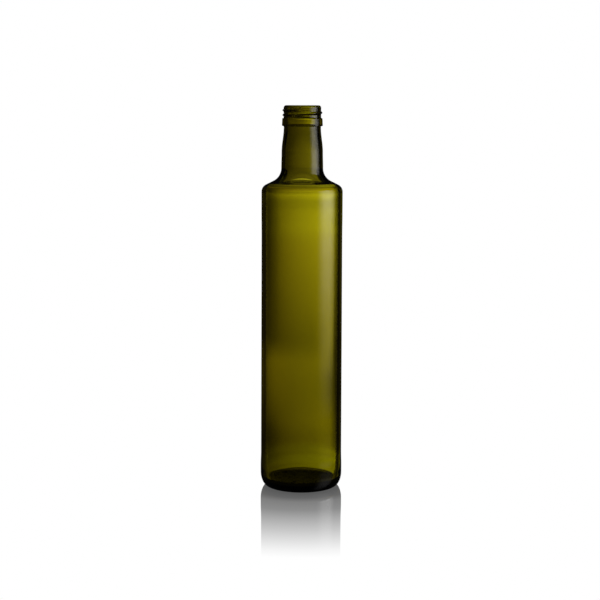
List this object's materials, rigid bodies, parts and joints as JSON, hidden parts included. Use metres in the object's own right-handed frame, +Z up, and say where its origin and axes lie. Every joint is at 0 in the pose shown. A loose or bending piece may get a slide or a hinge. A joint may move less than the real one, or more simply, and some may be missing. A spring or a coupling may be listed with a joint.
{
  "type": "olive oil bottle",
  "caption": "Tall round glass oil bottle, empty and uncapped: straight body, tight shoulder, short neck, screw finish over a bead, and a raised base.",
  "frame": {"origin": "centre of the base, on the plane of the bearing ring", "axes": "+Z up along the bottle's axis to the mouth; +X is where the thread starts"},
  "size_m": [0.061, 0.061, 0.2846],
  "materials": {
    "olive_glass": "clear olive-green glass, gloss"
  },
  "bodies": {
    "root": {"bottle": "olive_glass"}
  },
  "joints": []
}
